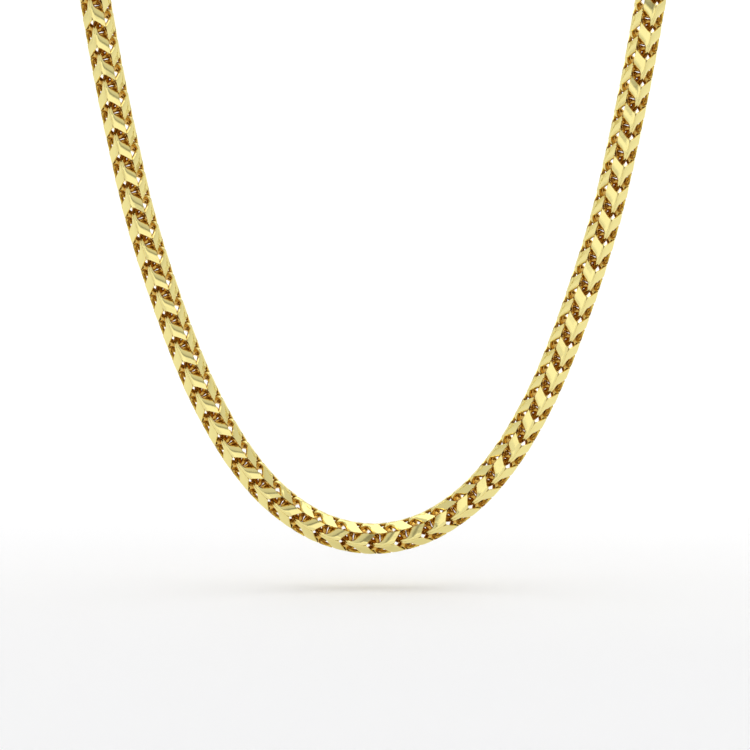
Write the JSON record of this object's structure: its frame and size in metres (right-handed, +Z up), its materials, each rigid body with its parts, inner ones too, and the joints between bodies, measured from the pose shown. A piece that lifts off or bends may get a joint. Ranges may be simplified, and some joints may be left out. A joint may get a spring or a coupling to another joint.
{
  "type": "franco chain necklace",
  "caption": "Square franco chain necklace in polished yellow metal, hanging in a deep curve and closed behind the neck by a plain barrel clasp.",
  "frame": {"origin": "point of the barrel clasp that rests on the nape of the neck, in the middle of the back of the loop", "axes": "+Z up, -Y towards the front where the chain hangs, +X to the wearer's left, which is the right of the front view"},
  "size_m": [0.127, 0.0976, 0.1575],
  "materials": {
    "polished_gold": "high polish, flat-cut faces",
    "clasp_gold": "high polish"
  },
  "bodies": {
    "root": {"chain": "polished_gold", "clasp": "clasp_gold"}
  },
  "joints": []
}
